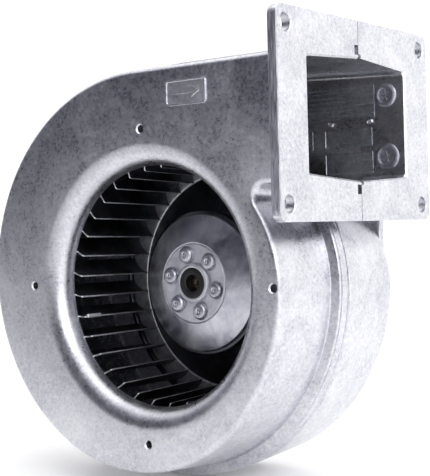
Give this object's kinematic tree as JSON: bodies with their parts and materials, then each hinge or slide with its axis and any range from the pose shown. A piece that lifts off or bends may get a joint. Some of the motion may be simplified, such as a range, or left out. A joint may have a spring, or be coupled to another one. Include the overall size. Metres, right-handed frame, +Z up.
{
  "type": "combustion fan",
  "caption": "Single-inlet forward-curved blower: split die-cast scroll with a rectangular outlet flange, an external-rotor motor inside a bladed steel impeller.",
  "frame": {"origin": "centre of the outlet flange's mating face, on the parting plane of the two shells", "axes": "+X is the way the air leaves the outlet, +Z is up with the outlet at the top, and the air enters the inlet along +Y. The fan axis runs along Y through x = -0.085, z = -0.0672"},
  "size_m": [0.191, 0.117, 0.1966],
  "materials": {
    "cast_aluminium": "as die cast, mottled, satin",
    "impeller_steel": "dark zinc-coated sheet, satin",
    "rotor_steel": "pressed, lightly polished",
    "bright_steel": "zinc plated",
    "shaft_steel": "ground, oiled, slightly brown",
    "laminated_steel": "stacked sheet",
    "cage_aluminium": "as cast",
    "enamelled_copper": "enamelled wire",
    "insulator_plastic": "moulded",
    "bush_plastic": "moulded, dark",
    "gland_rubber": "moulded"
  },
  "bodies": {
    "housing": {"front_shell": "cast_aluminium", "rear_shell": "cast_aluminium", "shell_screw_1": "bright_steel", "shell_screw_2": "bright_steel", "shell_screw_3": "bright_steel", "shell_screw_4": "bright_steel", "motor_plate": "cast_aluminium", "motor_screw_1": "bright_steel", "motor_screw_2": "bright_steel", "motor_screw_3": "bright_steel", "motor_screw_4": "bright_steel", "cable_gland": "gland_rubber", "stator_core": "laminated_steel", "coil_1": "enamelled_copper", "coil_2": "enamelled_copper", "coil_3": "enamelled_copper", "coil_4": "enamelled_copper", "coil_5": "enamelled_copper", "coil_6": "enamelled_copper", "insulator_front": "insulator_plastic", "insulator_rear": "insulator_plastic", "bearing_front_outer_ring": "bright_steel", "bearing_rear_outer_ring": "bright_steel"},
    "rotor": {"impeller_blades": "impeller_steel", "impeller_front_ring": "impeller_steel", "impeller_back_plate": "impeller_steel", "balance_clip": "bright_steel", "rotor_cup": "rotor_steel", "hub_plate": "rotor_steel", "rivet_1": "bright_steel", "rivet_2": "bright_steel", "rivet_3": "bright_steel", "rivet_4": "bright_steel", "rivet_5": "bright_steel", "rivet_6": "bright_steel", "hub_bush": "bush_plastic", "shaft": "shaft_steel", "bearing_front_inner_ring": "bright_steel", "bearing_rear_inner_ring": "bright_steel", "retaining_ring": "bright_steel", "preload_washer": "bright_steel", "rotor_core": "laminated_steel", "cage_end_ring_front": "cage_aluminium", "cage_end_ring_rear": "cage_aluminium"}
  },
  "joints": [
    {"name": "rotor_spin", "type": "hinge", "parent": "housing", "child": "rotor", "pos_m": [-0.085, 0, -0.0672], "axis": [0, 1, 0], "continuous": true}
  ]
}
